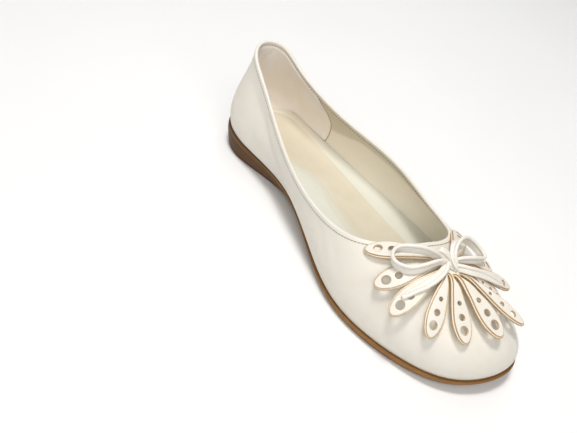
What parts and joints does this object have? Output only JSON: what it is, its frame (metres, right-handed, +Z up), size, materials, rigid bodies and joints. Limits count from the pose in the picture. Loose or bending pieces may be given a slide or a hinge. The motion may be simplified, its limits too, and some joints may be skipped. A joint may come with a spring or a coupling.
{
  "type": "ballet flat",
  "caption": "Slip-on ballet flat for the left foot with a low wedge sole, an open topline and a fan of pierced petals under a strap bow on the vamp.",
  "frame": {"origin": "middle of the heel's flat spot, on the floor", "axes": "+Z up, +Y towards the heel's back so that the toe points to -Y, +X towards the lateral side of the left shoe"},
  "size_m": [0.0895, 0.2505, 0.0735],
  "materials": {
    "white_leather": "smooth, fine grain",
    "gum_rubber": "semi-gloss",
    "cream_sock": "matt lining leather"
  },
  "bodies": {
    "root": {"upper": "white_leather", "outsole": "gum_rubber", "insole": "cream_sock", "petal_fan": "white_leather", "bow_loop_left": "white_leather", "bow_loop_right": "white_leather", "bow_tail_left": "white_leather", "bow_tail_right": "white_leather", "bow_knot": "white_leather"}
  },
  "joints": []
}
